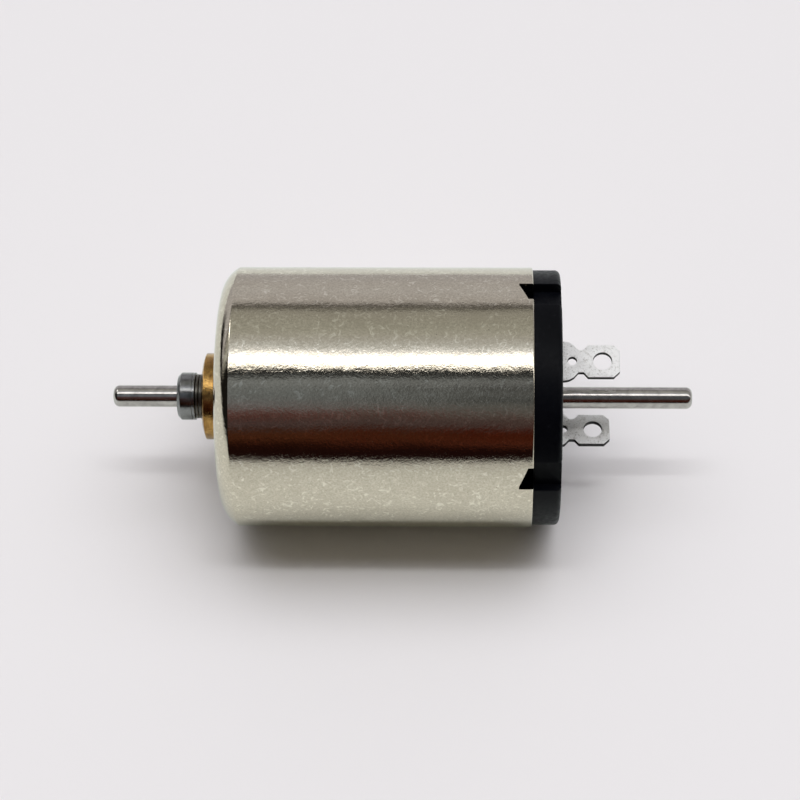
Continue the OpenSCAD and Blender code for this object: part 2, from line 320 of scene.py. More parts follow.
class Finish(Nodes):
    """A procedural material whose texture space is the piece's own frame in millimetres."""

    def __init__(self, name, metallic, **sockets):
        self.material = bpy.data.materials.new(name)
        self.material.use_nodes = True
        super().__init__(self.material.node_tree)
        self.shader = self.tree.nodes["Principled BSDF"]
        for socket, value in {"Metallic": metallic, **sockets}.items():
            self.shader.inputs[socket].default_value = value
        self.mm = self.add("ShaderNodeVectorMath", operation="SCALE")
        self.mm.inputs["Scale"].default_value = 1 / MM
        self.join(self.add("ShaderNodeTexCoord").outputs["Object"], self.mm.inputs[0])
        self.height = None

    def stretched(self, scale):
        """The texture space with each axis scaled."""
        node = self.add("ShaderNodeVectorMath", operation="MULTIPLY")
        node.inputs[1].default_value = scale
        self.join(self.mm.outputs[0], node.inputs[0])
        return node.outputs[0]

    def noise(self, per_mm, detail=2.0, rough=0.5, warp=0.0, space=None):
        """Noise with about per_mm features in each millimetre."""
        node = self.add("ShaderNodeTexNoise")
        node.inputs["Scale"].default_value = per_mm
        node.inputs["Detail"].default_value = detail
        node.inputs["Roughness"].default_value = rough
        node.inputs["Distortion"].default_value = warp
        self.join(space or self.mm.outputs[0], node.inputs["Vector"])
        return node.outputs["Fac"]

    def cells(self, per_mm):
        """Distance from the middle of the nearest of about per_mm cells in each millimetre."""
        node = self.add("ShaderNodeTexVoronoi")
        node.inputs["Scale"].default_value = per_mm
        self.join(self.mm.outputs[0], node.inputs["Vector"])
        return node.outputs["Distance"]

    def bump(self, height, microns):
        """Adds relief of so many microns over what is there."""
        node = self.add("ShaderNodeBump")
        node.inputs["Distance"].default_value = microns * 1e-6
        self.join(height, node.inputs["Height"])
        if self.height is not None:
            self.join(self.height, node.inputs["Normal"])
        self.height = node.outputs["Normal"]
        self.join(self.height, self.shader.inputs["Normal"])

    def colour(self, output):
        self.join(output, self.shader.inputs["Base Color"])

    def roughness(self, output):
        self.join(output, self.shader.inputs["Roughness"])

    def rings(self, per_mm):
        """Noise that changes only with the distance from the shaft, as turning marks do."""
        radius = self.add("ShaderNodeVectorMath", operation="LENGTH")
        self.join(self.stretched((0, 1, 1)), radius.inputs[0])
        line = self.add("ShaderNodeCombineXYZ")
        self.join(radius.outputs["Value"], line.inputs[0])
        return self.noise(per_mm, space=line.outputs[0])

    def facing(self, directions):
        """How squarely the surface faces the nearest of some directions or their opposites, from 0 to 1."""
        normal = self.add("ShaderNodeTexCoord").outputs["Normal"]
        most = 0
        for direction in directions:
            node = self.add("ShaderNodeVectorMath", operation="DOT_PRODUCT")
            self.join(normal, node.inputs[0])
            node.inputs[1].default_value = direction
            most = self.math("MAXIMUM", self.math("ABSOLUTE", node.outputs["Value"], 0), most)
        return most

    def angle_and_length(self):
        """The angle about the shaft, in radians, and the place along it."""
        parts = self.add("ShaderNodeSeparateXYZ")
        self.join(self.mm.outputs[0], parts.inputs[0])
        return self.math("ARCTAN2", parts.outputs[1], parts.outputs[2]), parts.outputs[0]


# ---------------------------------------------------------------- materials

def nickel():
    """Bright nickel plate over drawn steel: a fine orange peel, soft swirls, specks and rubbed patches."""
    f = Finish("nickel_finish", 1)
    patches = f.span(f.noise(0.35, 3, 0.55, 0.6), 0.35, 0.65)
    tint = f.blend(patches, (0.67, 0.60, 0.485), (0.74, 0.67, 0.545))
    grain = f.span(f.noise(5.5, 3, 0.7), 0.36, 0.64)
    tint = f.blend(grain, (0.545, 0.49, 0.39), tint)
    swirls = f.span(f.noise(1.3, 3, 0.6, 1.6), 0.56, 0.68)
    tint = f.blend(swirls, tint, (0.85, 0.785, 0.655))
    specks = f.span(f.cells(1.1), 0.035, 0.06)
    f.colour(f.blend(specks, (0.30, 0.27, 0.22), tint))
    f.roughness(f.span(f.noise(1.6, 3, 0.6, 0.4), 0.3, 0.7, 0.02, 0.055))
    f.bump(f.noise(5.5, 3, 0.7), 7.5)
    f.bump(f.noise(2.4, 2, 0.5, 0.5), 8)
    f.bump(f.noise(0.5, 1, 0.5), 12)
    f.bump(f.noise(0.13, 1, 0.5), 80)
    return f.material


def brass():
    """Turned brass, with fine rings, darker handling marks and small scratches."""
    f = Finish("brass_finish", 1)
    stain = f.noise(0.9, 4, 0.6, 0.8)
    f.colour(f.blend(f.span(stain, 0.4, 0.66), (0.54, 0.32, 0.10), (0.24, 0.12, 0.035)))
    f.roughness(f.span(f.noise(3, 3), 0.3, 0.7, 0.1, 0.25))
    f.bump(f.rings(9), 5)
    f.bump(f.noise(5, 3, 0.6, space=f.stretched((1, 3, 0.6))), 14)
    return f.material


def ground_steel(name, colour, roughness, lines_per_mm, microns):
    """Ground steel: fine lines round the bar and faint clouds in its polish."""
    f = Finish(name, 1)
    darker = tuple(0.72 * c for c in colour)
    f.colour(f.blend(f.span(f.noise(1.4, 3, 0.6, 0.5), 0.38, 0.7), colour, darker))
    f.roughness(f.span(f.noise(2.2, 3), 0.3, 0.7, 0.75 * roughness, 1.3 * roughness))
    f.bump(f.noise(lines_per_mm, 2, space=f.stretched((1, 0.12, 0.12))), microns)
    f.bump(f.noise(5, 2), 1.5 * microns)
    return f.material


def black_plastic():
    """Glass-filled black moulding: a fine matt grain, a slight sheen and grey rubs."""
    f = Finish("black_plastic_finish", 0, **{"Specular IOR Level": 0.09})
    rub = f.span(f.noise(1.8, 5, 0.65, 0.5), 0.62, 0.75)
    f.colour(f.blend(rub, (0.0012, 0.0015, 0.0028), (0.006, 0.0065, 0.009)))
    f.roughness(f.span(f.noise(2.5, 3), 0.3, 0.7, 0.3, 0.5))
    f.bump(f.noise(11, 2, 0.6), 3.5)
    f.bump(f.noise(2, 2), 5)
    return f.material


# What the two terminals' faces are square to. Surfaces turned away from both get painted shade.
PLATE_NORMALS = [(0, 0.276, 0.961), (0, 0.096, 0.995)]


def tinned_plate():
    """Tinned sheet: pale, dimpled and scratched, with dull flux in its hollows; its sheared edges and hole
    walls are painted near black as painted shade.
    """
    f = Finish("tinned_plate_finish", 0.6)
    dull = f.span(f.noise(2.6, 4, 0.62, 0.7), 0.54, 0.70)
    tone = f.blend(dull, (0.90, 0.90, 0.885), (0.62, 0.61, 0.58))
    pits = f.span(f.noise(6, 3, 0.65), 0.55, 0.72)
    tone = f.blend(pits, tone, (0.50, 0.49, 0.46))
    # Painted shade: every surface that is not square to a terminal's face, the sheared edges and the hole
    # walls, is painted near black.
    edge_shade_mask = f.span(f.facing(PLATE_NORMALS), 0.62, 0.86)
    f.colour(f.blend(edge_shade_mask, (0.03, 0.028, 0.028), tone))
    f.roughness(f.span(f.noise(3.4, 3, 0.6), 0.3, 0.7, 0.48, 0.66))
    f.bump(f.noise(2.4, 3, 0.55, 0.3), 9)
    f.bump(f.noise(9, 3, 0.6, space=f.stretched((0.5, 2, 2))), 5)
    return f.material


def winding():
    """Enamelled copper wire laid slantwise round the cup, each strand a fine ridge, with painted shade in
    the grooves between strands.
    """
    f = Finish("winding_finish", 1, **{"Coat Weight": 0.4})
    angle, along = f.angle_and_length()
    phase = f.math("ADD", f.math("MULTIPLY", angle, 320), f.math("MULTIPLY", along, 19))
    strand = f.span(f.math("SINE", phase, 0), -1, 1)
    shade = f.blend(f.noise(0.8, 3), (0.50, 0.19, 0.07), (0.68, 0.31, 0.13))
    # Painted shade: the grooves between strands are painted dark brown.
    f.colour(f.blend(f.span(strand, 0, 0.5), (0.18, 0.06, 0.02), shade))
    f.roughness(f.span(f.noise(3, 2), 0.3, 0.7, 0.22, 0.4))
    f.bump(strand, 40)
    return f.material


# name: colour, second colour, metallic, lowest and highest roughness, features per mm, relief in microns
PLAIN_FINISHES = {
    "sintered_bronze": ((0.42, 0.27, 0.14), (0.25, 0.16, 0.09), 1, 0.4, 0.6, 9, 9),
    "magnet": ((0.16, 0.16, 0.17), (0.09, 0.09, 0.10), 1, 0.35, 0.55, 6, 6),
    "spring_bronze": ((0.72, 0.44, 0.22), (0.55, 0.31, 0.15), 1, 0.22, 0.36, 7, 3),
    "brush_alloy": ((0.62, 0.60, 0.56), (0.40, 0.38, 0.35), 1, 0.3, 0.5, 9, 4),
    "damper_rubber": ((0.05, 0.035, 0.03), (0.03, 0.02, 0.02), 0, 0.6, 0.8, 6, 8),
    "washer_steel": ((0.15, 0.14, 0.12), (0.07, 0.065, 0.055), 1, 0.26, 0.4, 8, 3),
    "hub_plastic": ((0.66, 0.62, 0.52), (0.55, 0.50, 0.41), 0, 0.4, 0.55, 5, 5),
    "commutator_alloy": ((0.86, 0.66, 0.36), (0.55, 0.38, 0.19), 1, 0.2, 0.38, 10, 2),
}


def plain_finish(name):
    """A finish from the table: two tones in clouds, uneven gloss and a fine grain."""
    light, dark, metallic, smooth_end, rough_end, per_mm, microns = PLAIN_FINISHES[name]
    f = Finish(name + "_finish", metallic)
    f.colour(f.blend(f.span(f.noise(1.5, 4, 0.6, 0.4), 0.4, 0.68), light, dark))
    f.roughness(f.span(f.noise(2.5, 3), 0.3, 0.7, smooth_end, rough_end))
    f.bump(f.noise(per_mm, 3, 0.6), microns)
    return f.material


def make_finishes():
    made = {name: plain_finish(name) for name in PLAIN_FINISHES}
    made["nickel_plate"] = nickel()
    made["brass"] = brass()
    made["shaft_steel"] = ground_steel("shaft_steel_finish", (0.53, 0.50, 0.47), 0.16, 14, 2)
    made["collar_steel"] = ground_steel("collar_steel_finish", (0.25, 0.25, 0.245), 0.2, 9, 3)
    made["black_plastic"] = black_plastic()
    made["terminal_plate"] = tinned_plate()
    made["copper_winding"] = winding()
    return made


# ---------------------------------------------------------------- the can

def crease_centre():
    """Centre of the tight bend between the corner's arc and the can's side, in radius and depth."""
    radius = CAN_R - CAN_CREASE_R
    reach = CAN_CORNER - CAN_CREASE_R
    return radius, CAN_CORNER - math.sqrt(reach ** 2 - (radius - CAN_FLAT_R) ** 2)


CREASE = crease_centre()
CREASE_TURN = math.degrees(math.atan2(CREASE[1] - CAN_CORNER, CREASE[0] - CAN_FLAT_R))


def can_outline():
    """The can's section: front, rounded corner, side, rear rim and inside."""
    inner_r = CAN_R - CAN_WALL
    inner_turn = -math.degrees(math.acos((inner_r - CAN_FLAT_R) / (CAN_CORNER - CAN_WALL)))
    lip = BOSS_R + 0.01
    corner = (CAN_FLAT_R, CAN_CORNER)
    points = [(lip, 0.0)]
    points += arc(corner, CAN_CORNER, -90, CREASE_TURN, 20)
    points += arc(CREASE, CAN_CREASE_R, CREASE_TURN, 0, 6)[1:]
    outer_rim, inner_rim = 0.16, 0.08
    rim = [(CAN_R, MIDWAY), (CAN_R, CAN_LEN), (inner_r, CAN_LEN), (inner_r, MIDWAY)]
    points += rounded(rim, [0, outer_rim, inner_rim, 0])
    points += reversed(arc(corner, CAN_CORNER - CAN_WALL, -90, inner_turn, 12))
    points += [(lip, CAN_WALL)]
    return points


def notch_cutter(slot):
    hand = -1 if slot % 2 else 1
    outline = [(x, hand * y) for x, y in NOTCH_OUTLINE]
    place = turn_x(CLOCKING + slot * QUARTER) @ shift(-CAN_LEN, 0, 0)
    return prism("notch", outline, 0, CAN_R + CLEAR, place)


def tongue(slot):
    """The flap of wall pressed into the cap at one notch."""
    hand = -1 if slot % 2 else 1
    run, rise = 0.8, 2.1
    thickness, press = 0.55, math.radians(62)
    slant = math.hypot(run, rise)
    flap = [(0.1, 1.2), (0.35, 0.2), (0.7 * slant, 0), (slant - 0.1, 1.2)]
    hinge = shift(-CAN_LEN + 0.5, 1.2, 11.88)
    sunk = shift(0, -0.95, -thickness)
    place = turn_x(CLOCKING + slot * QUARTER) @ Matrix.Diagonal((1, hand, 1, 1)) @ hinge
    place = place @ Matrix.Rotation(-math.atan2(rise, run), 4, "Z") @ turn_x(press)
    piece = prism("tongue", flap, 0, thickness, place @ sunk)
    inside = CAN_R - 0.04
    keep = lathe("keep", [(0, MIDWAY), (inside, MIDWAY), (inside, CAN_LEN), (0, CAN_LEN)], 192)
    return carve(piece, [keep], "INTERSECT")


def screw_cutter(side):
    """A screw hole through the can's front, with a small countersink."""
    proud, wider, sink = -0.1, SCREW_R + 0.22, 0.12
    outline = [(0, proud), (wider, proud), (SCREW_R, sink), (SCREW_R, CLEAR), (0, CLEAR)]
    tool = lathe("screw", outline, 64)
    place = turn_x(CLOCKING) @ shift(0, side * SCREW_CIRCLE_R, 0)
    tool.data.transform(Matrix.Scale(MM, 4) @ place @ Matrix.Scale(1 / MM, 4))
    return tool


# The can's two bends: centre in radius and depth, bend radius, and the angle where it ends
BENDS = [((CAN_FLAT_R, CAN_CORNER), CAN_CORNER, CREASE_TURN), (CREASE, CAN_CREASE_R, 0)]


def can_normal(point):
    """The exact outward direction of the can's outer surface at a point, or None elsewhere."""
    radius = math.hypot(point.y, point.z)
    depth = -point.x
    out = Vector((0, point.y, point.z)) / radius
    if depth > CREASE[1] - 0.001 and abs(radius - CAN_R) < 0.005:
        return out
    for (centre_r, centre_d), bend, last in BENDS:
        across, ahead = (radius - centre_r) / bend, (centre_d - depth) / bend
        turn = math.degrees(math.atan2(-ahead, across))
        if abs(math.hypot(across, ahead) - 1) < 0.005 and turn < last + 0.5:
            return out * across + Vector((ahead, 0, 0))
    return None


def exact_normals(obj, rule):
    """Sets the corner normals that a rule knows, and keeps the rest."""
    mesh = obj.data
    normals = [Vector(n.vector) for n in mesh.corner_normals]
    for face in mesh.polygons:
        for loop in face.loop_indices:
            known = rule(mesh.vertices[mesh.loops[loop].vertex_index].co / MM)
            if known is not None and known.dot(face.normal) > 0.97:
                normals[loop] = known.normalized()
    mesh.normals_split_custom_set(normals)
    return obj


def make_can(finish):
    shell = lathe("can_shell", can_outline(), 360)
    carve(shell, [notch_cutter(i) for i in range(4)] + [screw_cutter(1), screw_cutter(-1)])
    carve(shell, [tongue(i) for i in range(4)], "UNION")
    exact_normals(smooth(shell, 30), can_normal)
    return finished(shell, "stator", "nickel_plate", finish["nickel_plate"], "can")


# ---------------------------------------------------------------- boss, collar, washers and shaft

def make_boss(finish):
    flat_r, dome_h = 2.5, 0.32
    seat_r, bore_r = 2.01, 1.5
    relief_r, relief_front, relief_rear = 3.75, -0.15, 0.45
    front_seat_end, rear_seat_start, sleeve_end = 1.3, 13.8, 17
    rise = BOSS_R - flat_r
    dome_r = (rise ** 2 + dome_h ** 2) / (2 * dome_h)
    sweep = math.degrees(math.asin(rise / dome_r))
    dome = arc((flat_r, BOSS_FRONT + dome_r), dome_r, -90, -90 + sweep)
    body = [
        (BOSS_R, relief_front), (relief_r, relief_front), (relief_r, relief_rear), (BOSS_R, relief_rear),
        (BOSS_R, CAN_WALL), (SLEEVE_R, CAN_WALL), (SLEEVE_R, sleeve_end), (seat_r, sleeve_end),
        (seat_r, rear_seat_start), (bore_r, rear_seat_start), (bore_r, front_seat_end),
        (seat_r, front_seat_end)]
    radii = [0.06] + [0] * (len(dome) - 1) + [0.07, 0.06] + [0] * (len(body) - 1)
    outline = rounded([(seat_r, BOSS_FRONT)] + dome + body, radii, 4)
    piece = smooth(lathe("pilot_boss", outline), 30)
    return finished(piece, "stator", "brass", finish["brass"], "front_boss")


def make_collar(finish):
    groove_r, groove_width = 2.05, 0.1
    chamfer = 0.32
    groove_rear = COLLAR_REAR - 0.2
    groove_front = groove_rear - groove_width
    bore = SHAFT_R + 0.01
    points = [
        (bore, COLLAR_FRONT), (COLLAR_R - chamfer, COLLAR_FRONT), (COLLAR_R, COLLAR_FRONT + chamfer),
        (COLLAR_R, groove_front), (groove_r, groove_front), (groove_r, groove_rear),
        (COLLAR_R, groove_rear), (COLLAR_R, COLLAR_REAR), (bore, COLLAR_REAR)]
    piece = lathe("collar", rounded(points, [0.03, 0.1, 0.1, 0.02, 0, 0, 0.02, 0.05, 0.03], 4))
    return finished(smooth(piece), "rotor", "collar_steel", finish["collar_steel"], "shaft_collar")


def make_washer(node, finish):
    bore = SHAFT_R + 0.02
    radius = high_mm(node).z
    front, rear = -high_mm(node).x, -low_mm(node).x
    corners = [(bore, front), (radius, front), (radius, rear), (bore, rear)]
    outline = rounded(corners, [0.04, 0.07, 0.07, 0.04], 4)
    piece = smooth(lathe(node + "_turned", outline))
    return finished(piece, "rotor", "washer_steel", finish["washer_steel"], node)


def make_shaft(finish):
    tip = 0.55
    groove = 0.6
    waist = SHAFT_R - 0.2
    grooves = []
    for start in (COLLAR_FRONT, CAP_REAR - groove):
        grooves += [(SHAFT_R, start), (waist, start), (waist, start + groove), (SHAFT_R, start + groove)]
    outline = [(0, SHAFT_FRONT)]
    outline += arc((SHAFT_R - tip, SHAFT_FRONT + tip), tip, -90, 0, 12)
    outline += grooves
    outline += arc((SHAFT_R - tip, SHAFT_REAR - tip), tip, 0, 90, 12)
    outline += [(0, SHAFT_REAR)]
    piece = smooth(lathe("ground_shaft", outline, 128), 30)
    return finished(piece, "rotor", "shaft_steel", finish["shaft_steel"], "shaft")


# ---------------------------------------------------------------- end cap and terminals

CAP_POINTS = [
    (3.2, CAP_REAR), (9.6, CAP_REAR), (9.6, CAP_REAR - 0.25), (9.95, CAP_REAR - 0.25), (9.95, CAP_REAR),
    (CAP_R, CAP_REAR), (CAP_R, CAN_LEN), (11.16, CAN_LEN), (11.16, CAN_LEN - 2.2), (9.56, CAN_LEN - 2.2),
    (9.56, CAN_LEN - 0.4), (2.9, CAN_LEN - 0.4), (2.9, CAN_LEN - 1.9), (2.21, CAN_LEN - 1.9),
    (2.21, CAP_REAR - 1.6), (1.4, CAP_REAR - 1.6), (1.4, CAP_REAR - 0.25), (3.2, CAP_REAR - 0.25)]
CAP_ROUNDING = [0.08, 0.06, 0, 0, 0.06, 0.5, 0] + [0] * 11


# One staking slot seen from its side: distance forward and distance from the shaft
BEHIND = -CAP_REAR - CLEAR
SLOT_FRONT = -CAN_LEN + 3.2
STAKING_SLOT = [
    (BEHIND, CAP_R - 1), (-CAN_LEN, CAP_R - 1), (-CAN_LEN, 9.9), (SLOT_FRONT, 9.9), (SLOT_FRONT, 14),
    (BEHIND, 14)]
SLOT_HALF = 1.55

# For each terminal: side, twist in degrees, distance from the shaft, how much deeper it sits in the cap
TERMINALS = {"terminal_upper": (1, 59.8, 3.7, 0), "terminal_lower": (-1, 70.3, 4.25, 0.65)}


def block(low, high, place):
    """A box-shaped cutter between two corners."""
    outline = [(low[0], low[1]), (high[0], low[1]), (high[0], high[1]), (low[0], high[1])]
    return prism("block", outline, low[2], high[2], place)


def terminal_place(side, twist, reach):
    """From a terminal's own plane, x forward and y away from the shaft, to the frame."""
    clock = turn_x(CLOCKING) @ shift(0, PLATE_OFFSET, side * reach)
    return clock @ turn_x(math.radians(twist)) @ turn_x(QUARTER) @ shift(0, 0, -TERMINAL_T / 2)


def relief_cutter(place):
    """A shallow slot in the cap's rear face."""
    depth, half, near, far = 0.25, 0.6, 5.2, 8.4
    return block((BEHIND, -half, near), (-CAP_REAR + depth, half, far), place)


def terminal_cutter(side, twist, reach, sink):
    """A terminal's pocket in the cap and the narrower slot for its tang, with a gap all round."""
    gap = 0.06
    half = PLATE_HALF + gap
    pocket_end = -CAP_REAR + 0.4 + sink + gap
    tang_end = -CAP_REAR + 3.9
    low, high = TANG_SIDES
    near, far = sorted((side * (low - gap), side * (high + gap)))
    outline = [
        (BEHIND, -half), (pocket_end, -half), (pocket_end, near), (tang_end, near), (tang_end, far),
        (pocket_end, far), (pocket_end, half), (BEHIND, half)]
    return prism("slot", outline, -gap, TERMINAL_T + gap, terminal_place(side, twist, reach))


def cap_cutters():
    tools = []
    for slot in range(4):
        place = turn_x(CLOCKING + slot * QUARTER)
        tools.append(prism("slot", STAKING_SLOT, -SLOT_HALF, SLOT_HALF, place @ turn_x(QUARTER)))
        tools.append(relief_cutter(place @ turn_x(QUARTER / 2)))
    return tools + [terminal_cutter(*setting) for setting in TERMINALS.values()]


def make_cap(finish):
    piece = lathe("end_cap_moulding", rounded(CAP_POINTS, CAP_ROUNDING, 8), 240)
    carve(piece, cap_cutters())
    smooth(bevelled(piece, 0.07, 2), 40)
    return finished(piece, "stator", "black_plastic", finish["black_plastic"], "end_cap")


def terminal_outline(sink):
    """One terminal's outline: distance behind the cap, and distance across, away from the shaft."""
    root = -0.4
    edge = [
        (5.48, 1.05), (4.93, 1.6), (2.6, 1.6), (2.2, 1.12), (1.7, 1.12), (1.3, 1.6), (0.85, 1.87),
        (0.4, PLATE_HALF), (root, PLATE_HALF)]
    tang_end = sink - CAP_REAR + CAN_LEN - FOOT_FRONT
    low, high = TANG_SIDES
    tang = [(root, high), (tang_end, high), (tang_end, low), (root, low)]
    return edge + tang + [(x, -y) for x, y in reversed(edge)]


def make_terminal(name, side, twist, reach, sink, finish):
    corners = [0.12, 0.12, 0.2, 0.2, 0.2, 0.2, 0.2, 0.2, 0.15]
    radii = corners + [0] * 4 + corners[::-1]
    outline = [(-x, side * y) for x, y in rounded(terminal_outline(sink), radii, 5)]
    place = terminal_place(side, twist, reach) @ shift(-CAP_REAR + sink, 0, 0)
    piece = prism("tinned_" + name, outline, 0, TERMINAL_T, place)
    holes = [(-EYE_AT, EYE_R, 64), (-FIXING_HOLE_AT, FIXING_HOLE_R, 32)]
    carve(piece, [prism("hole", circle(x, 0, r, steps), -1, 1, place) for x, r, steps in holes])
    flip = Matrix.Diagonal((1, 1, side, 1))
    foot_low = (-CAN_LEN + CAP_FLOOR_IN, -7.4, 3.2)
    foot_high = (-CAN_LEN + FOOT_FRONT, PLATE_OFFSET, 5.2)
    foot = block(foot_low, foot_high, turn_x(CLOCKING) @ flip)
    carve(piece, [foot], "UNION")
    smooth(bevelled(piece, 0.11, 3), 40)
    return finished(piece, "stator", "terminal_plate", finish["terminal_plate"], name)


# ---------------------------------------------------------------- carried CAD nodes

def finish_carried(finish):
    """Gives every CAD node that still shows the finish of its own slot."""
    slots = {material["slot"] for material in frame["record"]["materials"]}
    for obj in frame["nodes"].values():
        if obj.hide_render:
            continue
        slot = obj.material_slots[0].material.name.split(".")[0]
        if slot in slots:
            obj.material_slots[0].material = finish[slot]


# ---------------------------------------------------------------- floor, light and camera

WHITE = (0.82, 0.805, 0.815)
PAPER = (0.60, 0.58, 0.56)

# The room as the polished metal sees it. Each stop is an angle from straight up, in degrees, positive away
# from the camera, and the light from there. ABOVE serves every angle beyond SPLIT. Short of it, on the
# camera's side, LEFT serves directions towards the output end, MIDDLE those straight across the shaft and
# RIGHT those towards the rear.
SPLIT = -20
# Beyond the output end, in the metal only: a dark part of the room and one small lamp, with the cosines of
# the angles where the lamp starts and is full
OUTPUT_END_DARK = (0.012, 0.011, 0.010)
LAMP_WAY = Vector((0.51, -0.39, 0.77)).normalized()
LAMP_EDGE = (0.985, 0.995)
LAMP_LIGHT = (4.0, 4.0, 4.0)
ABOVE = [
    (-20, (0.03, 0.032, 0.035)), (-12.9, (0.02, 0.021, 0.023)), (-11.4, (2.8, 2.8, 2.8)),
    (-2.5, (2.8, 2.8, 2.8)), (-0.5, (1.3, 1.35, 1.5)), (5, (0.70, 0.74, 0.77)),
    (11.5, (0.54, 0.55, 0.555)), (19, (0.46, 0.47, 0.44)), (26, (0.41, 0.42, 0.39)),
    (32, (0.40, 0.405, 0.375)), (43, (0.37, 0.37, 0.35)), (45.5, (0.09, 0.085, 0.08)),
    (49, (0.09, 0.085, 0.08)), (51.5, (0.50, 0.49, 0.51)), (69, (0.56, 0.56, 0.595)),
    (80, (0.53, 0.525, 0.55)), (97, (0.475, 0.47, 0.50)), (180, PAPER)]
BELOW = [(-180, PAPER), (-97.6, PAPER), (-96.4, (0.012, 0.004, 0.004))]
LEFT = BELOW + [
    (-83, (0.015, 0.005, 0.003)), (-79, (0.02, 0.006, 0.004)), (-74, (0.08, 0.027, 0.012)),
    (-68, (0.05, 0.02, 0.012)), (-63, (0.076, 0.055, 0.06)), (-57, (0.088, 0.037, 0.032)),
    (-52, (0.135, 0.06, 0.057)), (-48, (0.18, 0.17, 0.19)), (-38, (0.18, 0.205, 0.23)),
    (-31, (0.20, 0.225, 0.25)), (-26, (0.26, 0.29, 0.325)), (-22, (0.22, 0.245, 0.27)),
    (-21, (0.06, 0.065, 0.07))]
MIDDLE = BELOW + [
    (-84, (0.013, 0.004, 0.004)), (-80, (0.06, 0.017, 0.01)), (-74, (0.065, 0.016, 0.007)),
    (-67, (0.056, 0.016, 0.01)), (-64, (0.085, 0.075, 0.075)), (-57, (0.095, 0.08, 0.08)),
    (-52, (0.115, 0.09, 0.09)), (-47, (0.12, 0.13, 0.135)), (-38, (0.155, 0.175, 0.19)),
    (-31, (0.155, 0.17, 0.185)), (-26, (0.255, 0.285, 0.31)), (-22, (0.21, 0.235, 0.25)),
    (-21, (0.06, 0.065, 0.07))]
RIGHT = BELOW + [
    (-84, (0.012, 0.004, 0.003)), (-80, (0.087, 0.024, 0.014)), (-74, (0.056, 0.01, 0.004)),
    (-67, (0.06, 0.011, 0.005)), (-63, (0.07, 0.042, 0.042)), (-57, (0.085, 0.058, 0.056)),
    (-52, (0.13, 0.128, 0.13)), (-43, (0.11, 0.12, 0.125)), (-41.6, (0.018, 0.02, 0.024)),
    (-40.4, (0.018, 0.02, 0.024)), (-39, (0.11, 0.12, 0.13)), (-33, (0.11, 0.12, 0.13)),
    (-31.8, (0.045, 0.047, 0.05)), (-29.8, (0.045, 0.047, 0.05)), (-28, (0.17, 0.185, 0.21)),
    (-25, (0.185, 0.20, 0.225)), (-22.5, (0.15, 0.165, 0.18)), (-21, (0.05, 0.055, 0.06))]
# The same room as the floor and the matt pieces see it: dim on the camera's side, bright overhead
SOFT = [
    (-180, PAPER), (-91, (0.02, 0.017, 0.013)), (-42, (0.03, 0.026, 0.02)), (-34, (0.25, 0.22, 0.18)),
    (-13, (0.32, 0.28, 0.22)), (-9, (2.10, 2.08, 2.16)), (22, (2.10, 2.08, 2.16)),
    (34, (0.40, 0.39, 0.40)), (90, (0.35, 0.345, 0.35)), (95, PAPER)]
# Their light comes mostly from across the shaft, and more from the rear than from the output end. The gain
# makes up for the light that this takes away.
SOFT_GAIN = 1.64
REAR_SHARE = 0.45


def ramp(n, place, stops):
    """The colour at a place on a table of stops."""
    node = n.add("ShaderNodeValToRGB")
    line = node.color_ramp
    for i, (angle, colour) in enumerate(stops):
        position = (angle + 180) / 360
        stop = line.elements[i] if i < 2 else line.elements.new(position)
        stop.position = position
        stop.color = (*colour, 1)
    n.join(place, node.inputs[0])
    return node.outputs[0]


def background(n, colour, strength=1.0):
    node = n.add("ShaderNodeBackground")
    n.feed(colour, node.inputs["Color"])
    n.feed(strength, node.inputs["Strength"])
    return node.outputs[0]


def metal_room(n, direction, axes, turn, place):
    """What the polished metal sees in each direction."""
    along, across, up = axes
    low = n.blend(n.ease(along, -0.005, 0.03), ramp(n, place, RIGHT), ramp(n, place, MIDDLE))
    low = n.blend(n.ease(along, 0.03, 0.07), low, ramp(n, place, LEFT))
    upper = n.math("GREATER_THAN", turn, math.radians(SPLIT))
    room = n.blend(upper, low, ramp(n, place, ABOVE))
    camera_side = n.math("MULTIPLY", n.ease(along, 0.5, 0.65), n.ease(across, -0.16, -0.06))
    low_down = n.math("MULTIPLY", n.ease(along, 0.7, 0.85), n.ease(up, 0.17, 0.09))
    room = n.blend(n.math("MAXIMUM", camera_side, low_down), room, OUTPUT_END_DARK)
    near = n.add("ShaderNodeVectorMath", operation="DOT_PRODUCT")
    n.join(direction, near.inputs[0])
    near.inputs[1].default_value = LAMP_WAY
    return n.blend(n.ease(near.outputs["Value"], *LAMP_EDGE), room, LAMP_LIGHT)


def soft_gain(n, along):
    """How strongly the soft light comes from each direction along the shaft."""
    crosswise = n.math("SUBTRACT", 1, n.math("MULTIPLY", along, along))
    gain = n.math("MULTIPLY", n.math("MULTIPLY", crosswise, crosswise), SOFT_GAIN)
    return n.math("MULTIPLY", gain, n.math("SUBTRACT", 1, n.math("MULTIPLY", along, REAR_SHARE)))


